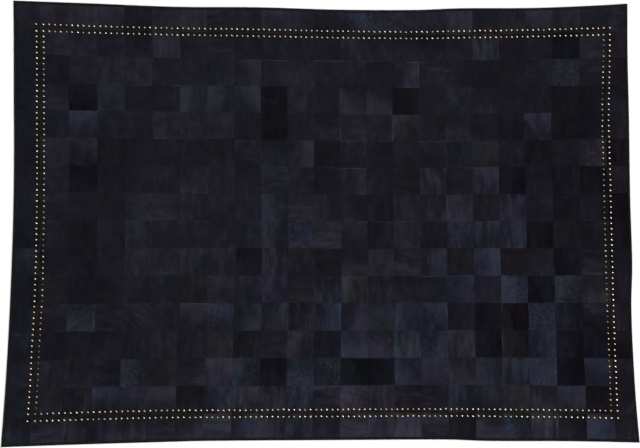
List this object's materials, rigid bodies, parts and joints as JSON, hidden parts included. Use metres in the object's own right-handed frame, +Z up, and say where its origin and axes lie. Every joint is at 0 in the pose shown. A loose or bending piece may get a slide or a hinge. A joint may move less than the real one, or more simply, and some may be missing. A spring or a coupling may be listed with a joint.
{
  "type": "cowhide patchwork rug",
  "caption": "Flat rug sewn from square patches of dark hair-on cowhide, with a border ring of patches, two rows of brass dome studs along its seam, and a narrow folded leather binding.",
  "frame": {"origin": "on the floor under the middle of the rug's outline", "axes": "+X along the rug's long side, +Y along its short side towards the back border, +Z up out of the hair side"},
  "size_m": [2.349, 1.668, 0.0061],
  "materials": {
    "field_hide": "short sleek near-black hair with a blue-grey sheen, lying a different way on each patch",
    "border_hide": "short sleek near-black hair with a grey sheen, lying a different way on each patch",
    "binding": "thin matt black leather with a fine grain, folded round the edge and stitched",
    "studs": "domed stud heads of aged antique brass, slightly dull"
  },
  "bodies": {
    "root": {"field": "field_hide", "border_back": "border_hide", "border_front": "border_hide", "border_left": "border_hide", "border_right": "border_hide", "binding_back": "binding", "binding_front": "binding", "binding_left": "binding", "binding_right": "binding"}
  },
  "joints": []
}
